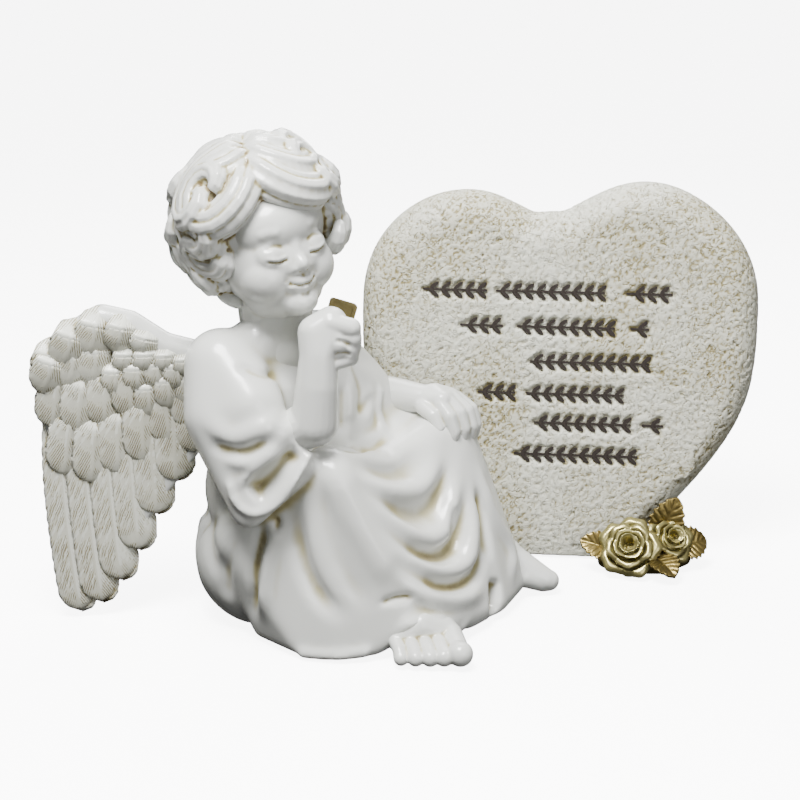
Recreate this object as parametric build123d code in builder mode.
from build123d import *
import os
from math import cos, radians, sin, tan

# Cast resin figurine: a seated winged cherub, chin on hand, beside a standing heart-shaped
# plaque with a spray of gilt roses at its foot. Millimetres, +Z up, the front is -Y, and the
# origin is at the bottom centre of the whole piece. "Right" and "left" are the cherub's own.

os.makedirs("parts", exist_ok=True)

# ---- Driving dimensions -------------------------------------------------------------------
# Positions are set out about the seat; the finished pieces are moved together at the end.

pad_thickness = 1.0  # felt under the resin
pad_radius = 6.0
ground = pad_thickness  # underside of every resin casting
pin_radius = 1.5  # 3 mm steel dowels
socket_radius = 1.55  # drilled holes, a glue film wider than the dowels

# Cherub
torso_yaw = 45.0  # the chest faces half-way between the front and the plaque
spine = Vector(-47.0, -22.0, 0)
# height, centre x, centre y, half width along the shoulders, half depth
torso_sections = [
    (ground, -50.0, -18.0, 28.0, 27.0),
    (24.0, -50.0, -18.0, 30.0, 28.0),
    (52.0, -48.0, -20.0, 24.0, 21.0),
    (84.0, -46.0, -22.0, 24.0, 17.0),
    (101.0, -45.0, -23.0, 20.0, 13.0),
    (110.0, -45.0, -24.0, 10.0, 9.0),
]
right_shoulder = Vector(-62.0, -38.0, 96.0)
left_shoulder = Vector(-25.0, -1.0, 97.0)
right_elbow = Vector(-30.0, -51.0, 76.0)
left_elbow = Vector(-14.0, 12.0, 80.0)
right_wrist = Vector(-29.0, -49.0, 104.0)
left_wrist = Vector(4.0, -3.0, 77.5)
shoulder_radius = 12.0
right_cuff_radius = 14.0
left_cuff_radius = 11.0
leg_half_width = 14.0
knee_height = 71.0
head_centre = Vector(-48.0, -26.0, 140.0)
hair_radius = 27.0
neck_radius = 10.0

# Heart plaque
plinth_height = 5.0
heart_x, heart_y = 53.0, 32.0  # front face where it meets the plinth
heart_yaw = 6.0  # its right side stands a little nearer the front
heart_lean = 6.0  # it leans back
heart_half_width = 73.0
heart_widest = 92.0  # height of the widest point above the plinth
heart_lobe_radius = 39.0
heart_tip_radius = 34.0  # blunt: the plinth cuts it off
heart_tip_rise = 18.0  # height of its centre above the plinth
heart_notch_depth = 14.0
heart_notch_half_width = 8.0
heart_thickness = 26.0
heart_edge_radius = 11.0
groove_depth = 1.2
fill_depth = 0.8  # the dark fill stops below the face
fill_gap = 0.04  # all round the fill
# engraved sprigs: place along the row, height above the plinth, length
sprigs = [
    (-38, 95, 24), (-3, 95, 40), (33, 95, 17),
    (-28, 82, 16), (3, 82, 36), (30, 82, 7),
    (12, 69, 44),
    (-22, 57, 14), (7, 57, 36),
    (10, 46, 36), (36, 46, 8),
    (8, 34, 46),
]
leaf_pitch = 4.4
stem_width = 0.8

# Wings
wing_root = Vector(-63.0, -18.0, 0)
wing_direction = Vector(-1.0, -0.08, 0)
wing_thickness = 7.0

# Rose spray
rose_large_centre = Vector(80.0, 15.0, 11.0)
rose_small_centre = Vector(96.0, 24.0, 13.5)
rose_large_radius = 10.0
rose_small_radius = 8.5
spray_height = 9.0

# Gilt clasp on the left shoulder
clasp_centre = Vector(-23.7, -5.5, 106.0)
clasp_length, clasp_depth, clasp_height = 9.5, 4.0, 6.0
clasp_rim = 1.2

# Felt pads, under the cherub and under the plinth
pad_centres = [(-58, -14), (-34, -42), (-8, -42), (4, -10), (40, 46), (90, 42)]

shoulder_line = Vector(cos(radians(torso_yaw)), sin(radians(torso_yaw)), 0)
chest_facing = Vector(sin(radians(torso_yaw)), -cos(radians(torso_yaw)), 0)
underside = Plane.XY.offset(ground)


# ---- Shared shapes ------------------------------------------------------------------------


def capsule(start, end, start_radius, end_radius):
    """A limb with round ends: a cone between two balls."""
    start, end = Vector(*start), Vector(*end)
    span = end - start
    run = Plane(origin=start, z_dir=span)
    with BuildPart() as limb:
        with BuildSketch(run):
            Circle(start_radius)
        with BuildSketch(run.offset(span.length)):
            Circle(end_radius)
        loft()
        with Locations(start):
            Sphere(start_radius)
        with Locations(end):
            Sphere(end_radius)
    return limb.part


def bent_leg(hip, ankle, knee_share):
    """A covered leg: a rounded wedge, thigh up to the knee and shin down to the ankle."""
    hip, ankle = Vector(*hip), Vector(*ankle)
    run = ankle - hip
    side = Plane(origin=hip, x_dir=run, z_dir=run.cross(Vector(0, 0, 1)))
    knee = run.length * knee_share
    below = ground - 14  # rounded there too, then cut away at the ground
    with BuildPart() as leg:
        with BuildSketch(side):
            with BuildLine():
                FilletPolyline(
                    (-6, below),
                    (-6, knee_height * 0.55),
                    (knee - 8, knee_height),
                    (knee + 8, knee_height - 2),
                    (run.length + 6, 18),
                    (run.length + 6, below),
                    radius=6,
                    close=True,
                )
            make_face()
        extrude(amount=leg_half_width, both=True)
        fillet(leg.faces().filter_by(side).edges(), radius=9)
        split(bisect_by=underside, keep=Keep.TOP)
    return leg.part


def sleeve(shoulder, cuff, cuff_radius):
    """A wide sleeve that opens at the cuff."""
    axis = cuff - shoulder
    with BuildPart() as cloth:
        with BuildSketch(Plane(origin=shoulder, z_dir=axis)):
            Circle(shoulder_radius)
        with BuildSketch(Plane(origin=cuff, z_dir=axis)):
            Circle(cuff_radius)
        loft()
        with Locations(shoulder):
            Sphere(shoulder_radius)
    return cloth.part


def rod(centre, direction, length, radius):
    """A straight pin, or the hole for one, centred on a point."""
    axis = Vector(*direction).normalized()
    start = Vector(*centre) - axis * (length / 2)
    with BuildPart() as straight:
        with BuildSketch(Plane(origin=start, z_dir=axis)):
            Circle(radius)
        extrude(amount=length)
    return straight.part


def rose(centre, facing, radius):
    """An open rose: a rounded cup, two rolled rings of petals and a bud."""
    with BuildPart() as flower:
        with BuildSketch(Plane.XZ):
            with BuildLine():
                Spline(
                    (0, -0.62 * radius),
                    (0.62 * radius, -0.45 * radius),
                    (radius, 0.1 * radius),
                    (0.8 * radius, 0.42 * radius),
                    tangents=[(1, 0), (-0.6, 0.8)],
                )
                Polyline(
                    (0.8 * radius, 0.42 * radius),
                    (0.66 * radius, 0.12 * radius),
                    (0.52 * radius, 0.5 * radius),
                    (0.36 * radius, 0.16 * radius),
                    (0.24 * radius, 0.56 * radius),
                    (0, 0.56 * radius),
                    (0, -0.62 * radius),
                )
            make_face()
        revolve(axis=Axis.Z)
    return Plane(origin=centre, z_dir=facing) * flower.part


def leaf(base, tip, facing, half_width, thickness):
    """A pointed leaf between two arcs, with a raised midrib."""
    base, tip = Vector(*base), Vector(*tip)
    run = tip - base
    length = run.length
    blade_plane = Plane(origin=base, x_dir=run, z_dir=facing)
    with BuildPart() as blade:
        with BuildSketch(blade_plane):
            with BuildLine():
                ThreePointArc((0, 0), (length * 0.45, half_width), (length, 0))
                ThreePointArc((length, 0), (length * 0.45, -half_width), (0, 0))
            make_face()
        extrude(amount=thickness)
        with BuildSketch(blade_plane.offset(thickness)):
            with Locations((length * 0.45, 0)):
                SlotOverall(length * 0.8, 1.0)
        extrude(amount=0.5)
    return blade.part


# ---- Steel dowels -------------------------------------------------------------------------

outward = wing_direction.normalized()
left_outward = outward - shoulder_line * (2 * outward.dot(shoulder_line))
mirror_plane = Plane(origin=spine, z_dir=shoulder_line)
right_root = Vector(wing_root.X, wing_root.Y, 0)
left_root = right_root - shoulder_line * (2 * (right_root - spine).dot(shoulder_line))
wing_pin_heights = (76.0, 92.0)
wing_pin_length = 16.0
wing_boss_height, wing_boss_thickness = 26.0, 13.0
heart_plane = Plane(
    origin=(heart_x, heart_y, ground + plinth_height),
    x_dir=(cos(radians(heart_yaw)), -sin(radians(heart_yaw)), 0),
    z_dir=(
        -sin(radians(heart_yaw)) * cos(radians(heart_lean)),
        -cos(radians(heart_yaw)) * cos(radians(heart_lean)),
        sin(radians(heart_lean)),
    ),
)
neck_pin_centre = Vector(-46.5, -24.5, 113.0)
neck_pin_axis = Vector(-0.04, -0.05, 1)
neck_pin_length = 20.0
heart_pin_centres = [Vector(46, 47, ground + plinth_height), Vector(60, 45.6, ground + plinth_height)]
heart_pin_length = 8.0


def wing_rods(radius):
    """The four dowels that hold the wings, or their holes."""
    roots = ((right_root, outward), (left_root, left_outward))
    return [
        rod(root + Vector(0, 0, height), direction, wing_pin_length, radius)
        for root, direction in roots
        for height in wing_pin_heights
    ]


def heart_rods(radius):
    """The two dowels between the plinth and the plaque, or their holes."""
    return [rod(centre, (0, 0, 1), heart_pin_length, radius) for centre in heart_pin_centres]


with BuildPart() as wing_pins:
    add(wing_rods(pin_radius))

with BuildPart() as neck_pin:
    add(rod(neck_pin_centre, neck_pin_axis, neck_pin_length, pin_radius))

with BuildPart() as heart_pins:
    add(heart_rods(pin_radius))

# ---- Forearms and hands -------------------------------------------------------------------

with BuildPart(Plane(origin=right_wrist + Vector(2, 1, 7), z_dir=(0.2, -0.3, 1))) as fist:
    Box(15, 12, 12)
    fillet(fist.edges(), radius=4)

with BuildPart() as right_forearm:
    add(capsule(right_elbow, right_wrist, 9.0, 6.5))
    add(fist.part)
    for step in range(4):
        knuckle = right_wrist + Vector(8, -1.5 + step * 2.6, 10 - step * 3.4)
        add(capsule(knuckle, knuckle + Vector(-4, -4, -1.5), 2.6, 2.2))

with BuildPart() as left_forearm:
    add(capsule(left_elbow, left_wrist, 7.0, 6.0))
    add(capsule(left_wrist + Vector(1, -0.5, 0.2), left_wrist + Vector(8.5, -5, 0.4), 5.6, 6.7))
    for step in range(4):
        knuckle = left_wrist + Vector(10 + step * 1.2, -8.5 + step * 4.2, -1)
        add(capsule(knuckle, knuckle + Vector(6.5, -1.5, -13), 2.6, 2.1))
    add(capsule(left_wrist + Vector(2, -8, -2), left_wrist + Vector(7, -11, -9), 2.9, 2.2))

# ---- Feet ---------------------------------------------------------------------------------


def foot(heel, ball, half_width, toe_reach, side_sign):
    """A bare foot, flat underneath, with five toes that fan out from the ball."""
    heel, ball = Vector(*heel), Vector(*ball)
    forward = (ball - heel).normalized()
    across = forward.cross(Vector(0, 0, 1)) * side_sign
    with BuildPart() as sole:
        add(capsule(heel, ball, 7.5, 6.0))
        add(capsule(ball - across * (half_width - 4), ball + across * (half_width - 4), 5.5, 5.0))
        for toe in range(5):
            offset_across = (toe / 4 * 2 - 1) * (half_width - 1.5)
            radius = 3.2 - toe * 0.25
            root = ball + across * (-offset_across) - Vector(0, 0, 1.5)
            reach = toe_reach - abs(toe - 1) * 0.8
            add(capsule(root, root + forward * reach - Vector(0, 0, 0.6), radius, radius))
        split(bisect_by=underside, keep=Keep.TOP)
    return sole.part


with BuildPart() as right_foot:
    add(foot((6, -47, 7), (13.5, -57.5, 5.5), 9.5, 7.0, 1))

with BuildPart() as left_foot:
    add(foot((40, 2, 7), (48, 9, 5.5), 8.0, 7.0, -1))

# ---- Plinth and shoulder clasp, let into the gown -------------------------------------------

with BuildPart() as plinth:  # its tongue runs under the cherub's back
    with BuildSketch(underside):
        with BuildLine():
            FilletPolyline(
                (-24, 3), (22, 3), (30, 27), (60, 27), (108, 24), (104, 60), (28, 66), (-24, 26),
                radius=6,
                close=True,
            )
        make_face()
    extrude(amount=plinth_height)
    add(heart_rods(socket_radius), mode=Mode.SUBTRACT)

clasp_plane = Plane(origin=clasp_centre, x_dir=(0.93, 0.1, -0.3), z_dir=(0.1, -1, 0.15))

with BuildPart() as shoulder_clasp:  # a flat bar with a raised rim
    with BuildSketch(clasp_plane.offset(-clasp_depth / 2)):
        RectangleRounded(clasp_length, clasp_height, radius=1.2)
    extrude(amount=clasp_depth)
    with BuildSketch(clasp_plane.offset(clasp_depth / 2 - 0.8)):
        RectangleRounded(clasp_length - 2 * clasp_rim, clasp_height - 2 * clasp_rim, radius=0.6)
    extrude(amount=0.8, mode=Mode.SUBTRACT)

# ---- Gowned body --------------------------------------------------------------------------

with BuildPart() as torso:
    for height, x, y, half_width, half_depth in torso_sections:
        with BuildSketch(Plane(origin=(x, y, height), x_dir=shoulder_line)):
            Ellipse(half_width, half_depth)
    loft()

with BuildPart() as lap:  # gown stretched between the legs
    with BuildSketch(underside):
        with BuildLine():
            FilletPolyline((-62, -50), (8, -58), (46, 0), (34, 14), (-30, 16), radius=6, close=True)
        make_face()
    with BuildSketch(Plane.XY.offset(58)):
        with BuildLine():
            FilletPolyline((-46, -44), (-22, -46), (16, -6), (10, 4), (-34, 4), radius=4, close=True)
        make_face()
    loft(ruled=True)

with BuildPart() as gown_body:
    add(torso.part)
    add(lap.part)
    add(bent_leg((-58, -32, 0), (6, -52, 0), 0.46))
    add(bent_leg((-40, -4, 0), (38, 2, 0), 0.66))
    add(sleeve(right_shoulder, right_elbow + Vector(-6, 2, -5), right_cuff_radius))
    add(sleeve(left_shoulder, left_elbow + Vector(2, -2, -1), left_cuff_radius))
    add(right_forearm.part, mode=Mode.SUBTRACT)
    add(left_forearm.part, mode=Mode.SUBTRACT)
    add(right_foot.part, mode=Mode.SUBTRACT)
    add(left_foot.part, mode=Mode.SUBTRACT)
    add(plinth.part, mode=Mode.SUBTRACT)
    add(shoulder_clasp.part, mode=Mode.SUBTRACT)
    add(wing_rods(socket_radius), mode=Mode.SUBTRACT)
    add(rod(neck_pin_centre, neck_pin_axis, neck_pin_length, socket_radius), mode=Mode.SUBTRACT)

# ---- Head ---------------------------------------------------------------------------------

with BuildPart() as head:
    with Locations(head_centre):
        Sphere(hair_radius)
    with Locations(head_centre + Vector(9, -9, -7)):
        Sphere(21)  # cheeks and chin
    with Locations(*(head_centre + Vector(*lump) for lump in (
        (-22, -4, -4), (-18, -12, 8), (-19, 6, -14), (16, 12, 6), (-2, 4, 14), (12, 2, 15), (20, 6, -6),
    ))):
        Sphere(10)  # masses of curls
    add(capsule((-45.5, -24, 106), head_centre, neck_radius, neck_radius))
    add(gown_body.part, mode=Mode.SUBTRACT)
    add(right_forearm.part, mode=Mode.SUBTRACT)
    add(rod(neck_pin_centre, neck_pin_axis, neck_pin_length, socket_radius), mode=Mode.SUBTRACT)

# ---- Wings --------------------------------------------------------------------------------

wing_boss_plane = Plane(origin=right_root + Vector(0, 0, 84) - outward * 4, x_dir=(0, 0, 1), z_dir=outward)
wing_plane = Plane(origin=wing_root, x_dir=wing_direction, z_dir=wing_direction.cross(Vector(0, 0, 1)))

with BuildPart() as right_wing:
    with BuildSketch(wing_plane):  # outward from the root, and height
        with BuildLine():
            Spline(
                (2, 66), (7, 96), (18, 101), (28, 107), (38, 113),
                (50, 105), (60, 84), (61, 60), (57, 30), (53, 3.5),
            )
            Spline((53, 3.5), (47, 6), (42, 10), (35, 18), (28, 30), (19, 46), (11, 57), (2, 66))
        make_face()
    extrude(amount=wing_thickness / 2, both=True)
    chamfer(right_wing.faces().filter_by(wing_plane).edges(), length=1.2)
    with BuildSketch(wing_boss_plane):
        SlotOverall(wing_boss_height, wing_boss_thickness)
    extrude(amount=12)
    add(gown_body.part, mode=Mode.SUBTRACT)
    add(wing_rods(socket_radius), mode=Mode.SUBTRACT)

with BuildPart() as left_wing:
    mirror(right_wing.part, about=mirror_plane)
    add(gown_body.part, mode=Mode.SUBTRACT)

# ---- Heart plaque and its engraved ornament -------------------------------------------------

half_turn = sin(radians(45))
lobe_x = heart_half_width - heart_lobe_radius
top_y = heart_widest + heart_lobe_radius
notch_y = top_y - heart_notch_depth
notch_corner = (heart_notch_half_width, notch_y + heart_notch_depth * heart_notch_half_width / lobe_x)
# the radius at which the flank runs into the 45 degree line off the tip
flank_gap = heart_widest - heart_half_width - heart_tip_rise + 2 * heart_tip_radius * half_turn
flank_radius = flank_gap / tan(radians(22.5))
flank_start = (heart_half_width - flank_radius * (1 - half_turn), heart_widest - flank_radius * half_turn)

with BuildPart() as heart_blank:
    with BuildSketch(heart_plane):
        with BuildLine():
            tip = CenterArc((0, heart_tip_rise), heart_tip_radius, -90, 45)
            Line(tip @ 1, flank_start)
            flank = TangentArc(flank_start, (heart_half_width, heart_widest), tangent=(1, 1))
            lobe = TangentArc(flank @ 1, (lobe_x, top_y), tangent=(0, 1))
            TangentArc(lobe @ 1, notch_corner, tangent=(-1, 0))
            TangentArc((0, notch_y), notch_corner, tangent=(1, 0))
            mirror(about=Plane.YZ)
        make_face()
    extrude(amount=-heart_thickness)
    fillet(heart_blank.faces().filter_by(heart_plane).edges(), radius=heart_edge_radius)
    split(bisect_by=Plane.XY.offset(ground + plinth_height), keep=Keep.TOP)


def sprig_field(depth, gap, thickness):
    """Every sprig as a thin solid that starts at a depth below the heart's face."""
    with BuildPart() as field:
        with BuildSketch(heart_plane.offset(-depth)):
            for along, height, length in sprigs:
                with Locations((along, height)):
                    SlotOverall(length - 2 * gap, stem_width - 2 * gap)
                pairs = max(1, int(length / leaf_pitch))
                for step in range(pairs):
                    x = along + (step - (pairs - 1) / 2) * leaf_pitch
                    for side in (-1, 1):
                        with Locations(Location((x + 1.1, height + side * 1.5), side * 38)):
                            Ellipse(2.1 - gap, 0.75 - gap)
        extrude(amount=thickness)
    return field.part


with BuildPart() as heart_ornament:  # dark fill at the bottom of the engraved sprigs
    add(sprig_field(groove_depth, fill_gap, fill_depth))

with BuildPart() as heart_plaque:
    add(heart_blank.part)
    add(sprig_field(groove_depth, 0, groove_depth + 1), mode=Mode.SUBTRACT)
    add(heart_rods(socket_radius), mode=Mode.SUBTRACT)

# ---- Rose spray ---------------------------------------------------------------------------

with BuildPart() as rose_large:
    add(rose(rose_large_centre, (-0.15, -0.8, 0.58), rose_large_radius))

with BuildPart() as rose_small:
    add(rose(rose_small_centre, (0.3, -0.6, 0.74), rose_small_radius))
    add(rose_large.part, mode=Mode.SUBTRACT)
    add(heart_blank.part, mode=Mode.SUBTRACT)

with BuildPart() as rose_leaf_left:
    add(leaf((76, 19, 7.5), (62.5, 21, 11.5), (0, -0.8, 0.6), 4.5, 1.4))
    add(rose_large.part, mode=Mode.SUBTRACT)

with BuildPart() as rose_leaf_front:
    add(leaf((90, 17, 6.5), (95, 4.5, 3.6), (0.1, -0.3, 0.95), 4.5, 1.4))
    add(rose_large.part, mode=Mode.SUBTRACT)
    add(rose_small.part, mode=Mode.SUBTRACT)

with BuildPart() as rose_leaf_right:
    add(leaf((98, 23, 7), (109.5, 26, 9), (0.2, -0.5, 0.8), 4.5, 1.4))
    add(rose_small.part, mode=Mode.SUBTRACT)

with BuildPart() as rose_leaf_top:
    add(leaf((91, 23, 7), (98, 25, 25.5), (-0.1, -1, 0.2), 5.5, 1.4))
    add(rose_large.part, mode=Mode.SUBTRACT)
    add(rose_small.part, mode=Mode.SUBTRACT)
    add(heart_blank.part, mode=Mode.SUBTRACT)

with BuildPart() as rose_base:  # mound behind the flowers, bedded on the plinth
    with BuildSketch(underside):
        with BuildLine():
            FilletPolyline((66, 22), (76, 9), (94, 10), (107, 22), (104, 34), (70, 34), radius=5, close=True)
        make_face()
    extrude(amount=spray_height, taper=20)
    for neighbour in (
        heart_blank, plinth, rose_large, rose_small,
        rose_leaf_left, rose_leaf_front, rose_leaf_right, rose_leaf_top,
    ):
        add(neighbour.part, mode=Mode.SUBTRACT)

# ---- Felt pads ----------------------------------------------------------------------------

with BuildPart() as felt_pads:
    with BuildSketch():
        with Locations(*pad_centres):
            Circle(pad_radius)
    extrude(amount=pad_thickness)

# ---- Origin at the bottom centre of the whole piece, then every piece written ----------------

pieces = [
    gown_body, head, right_forearm, left_forearm, right_foot, left_foot, right_wing, left_wing,
    wing_pins, neck_pin, heart_pins, heart_plaque, heart_ornament, plinth, shoulder_clasp,
    rose_large, rose_small, rose_leaf_left, rose_leaf_front, rose_leaf_right, rose_leaf_top,
    rose_base, felt_pads,
]
middle = Compound([piece.part for piece in pieces]).bounding_box().center()
for piece in pieces:
    piece.part.location = Location((-middle.X, -middle.Y, 0))

gown_body.part.label = "gown_body"
export_step(gown_body.part, "parts/gown_body.step")
head.part.label = "head"
export_step(head.part, "parts/head.step")
right_forearm.part.label = "right_forearm"
export_step(right_forearm.part, "parts/right_forearm.step")
left_forearm.part.label = "left_forearm"
export_step(left_forearm.part, "parts/left_forearm.step")
right_foot.part.label = "right_foot"
export_step(right_foot.part, "parts/right_foot.step")
left_foot.part.label = "left_foot"
export_step(left_foot.part, "parts/left_foot.step")
right_wing.part.label = "right_wing"
export_step(right_wing.part, "parts/right_wing.step")
left_wing.part.label = "left_wing"
export_step(left_wing.part, "parts/left_wing.step")
wing_pins.part.label = "wing_pins"
export_step(wing_pins.part, "parts/wing_pins.step")
neck_pin.part.label = "neck_pin"
export_step(neck_pin.part, "parts/neck_pin.step")
heart_pins.part.label = "heart_pins"
export_step(heart_pins.part, "parts/heart_pins.step")
heart_plaque.part.label = "heart_plaque"
export_step(heart_plaque.part, "parts/heart_plaque.step")
heart_ornament.part.label = "heart_ornament"
export_step(heart_ornament.part, "parts/heart_ornament.step")
plinth.part.label = "plinth"
export_step(plinth.part, "parts/plinth.step")
shoulder_clasp.part.label = "shoulder_clasp"
export_step(shoulder_clasp.part, "parts/shoulder_clasp.step")
rose_large.part.label = "rose_large"
export_step(rose_large.part, "parts/rose_large.step")
rose_small.part.label = "rose_small"
export_step(rose_small.part, "parts/rose_small.step")
rose_leaf_left.part.label = "rose_leaf_left"
export_step(rose_leaf_left.part, "parts/rose_leaf_left.step")
rose_leaf_front.part.label = "rose_leaf_front"
export_step(rose_leaf_front.part, "parts/rose_leaf_front.step")
rose_leaf_right.part.label = "rose_leaf_right"
export_step(rose_leaf_right.part, "parts/rose_leaf_right.step")
rose_leaf_top.part.label = "rose_leaf_top"
export_step(rose_leaf_top.part, "parts/rose_leaf_top.step")
rose_base.part.label = "rose_base"
export_step(rose_base.part, "parts/rose_base.step")
felt_pads.part.label = "felt_pads"
export_step(felt_pads.part, "parts/felt_pads.step")
